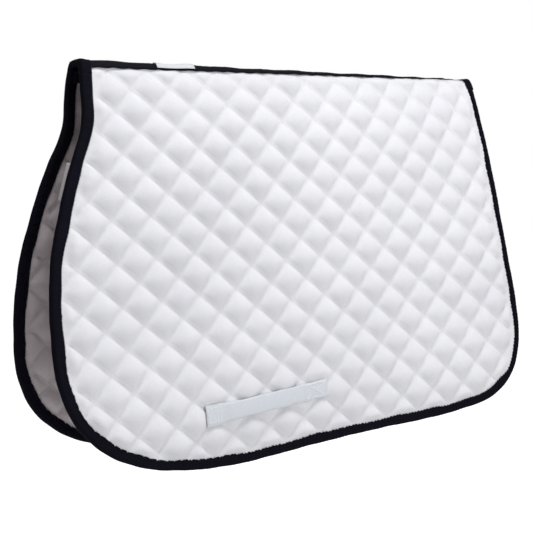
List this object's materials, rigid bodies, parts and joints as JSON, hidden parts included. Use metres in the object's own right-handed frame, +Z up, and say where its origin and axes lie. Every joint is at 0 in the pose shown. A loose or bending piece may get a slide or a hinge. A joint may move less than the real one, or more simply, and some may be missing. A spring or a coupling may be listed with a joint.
{
  "type": "saddle pad",
  "caption": "Quilted English saddle pad with two shaped flaps on a taped spine, dark bound edges and a webbing girth keeper on each flap.",
  "frame": {"origin": "middle of the ridge of the spine, where the pad hangs over the horse's back or a saddle rack", "axes": "+X points along the spine to the horse's head, +Y to its left (near) side, +Z up"},
  "size_m": [0.6782, 0.2529, 0.4585],
  "materials": {
    "cover_cotton": "quilted white cotton drill, matt",
    "lining_cotton": "quilted off-white cotton, matt",
    "wadding": "white polyester wadding",
    "binding": "near-black navy ribbed binding tape",
    "spine_tape": "near-black navy ribbed tape",
    "webbing": "white woven webbing",
    "quilting_thread": "white polyester thread",
    "webbing_thread": "white polyester thread",
    "binding_thread": "dark navy polyester thread",
    "label_satin": "blank white woven satin",
    "care_label": "blank white satin"
  },
  "bodies": {
    "spine": {"spine_seam_allowance": "wadding", "spine_tape": "spine_tape", "spine_lining_tape": "spine_tape", "spine_thread": "binding_thread", "spine_label": "label_satin", "spine_label_thread": "webbing_thread", "front_spine_binding": "binding", "rear_spine_binding": "binding"},
    "near_flap": {"near_cover": "cover_cotton", "near_wadding": "wadding", "near_lining": "lining_cotton", "near_quilting_thread": "quilting_thread", "near_edge_binding": "binding", "near_binding_thread": "binding_thread", "near_girth_strap": "webbing", "near_girth_strap_thread": "webbing_thread", "care_label": "care_label"},
    "far_flap": {"far_cover": "cover_cotton", "far_wadding": "wadding", "far_lining": "lining_cotton", "far_quilting_thread": "quilting_thread", "far_edge_binding": "binding", "far_binding_thread": "binding_thread", "far_girth_strap": "webbing", "far_girth_strap_thread": "webbing_thread"}
  },
  "joints": [
    {"name": "near_flap_fold", "type": "hinge", "parent": "spine", "child": "near_flap", "pos_m": [0, 0, -0.007], "axis": [1, 0, 0], "range_deg": [-5, 75], "stiffness_Nm_per_rad": 0.19, "springref_deg": 68.75},
    {"name": "far_flap_fold", "type": "hinge", "parent": "spine", "child": "far_flap", "pos_m": [0, 0, -0.007], "axis": [-1, 0, 0], "range_deg": [-2, 75], "stiffness_Nm_per_rad": 0.19, "springref_deg": 68.75}
  ]
}
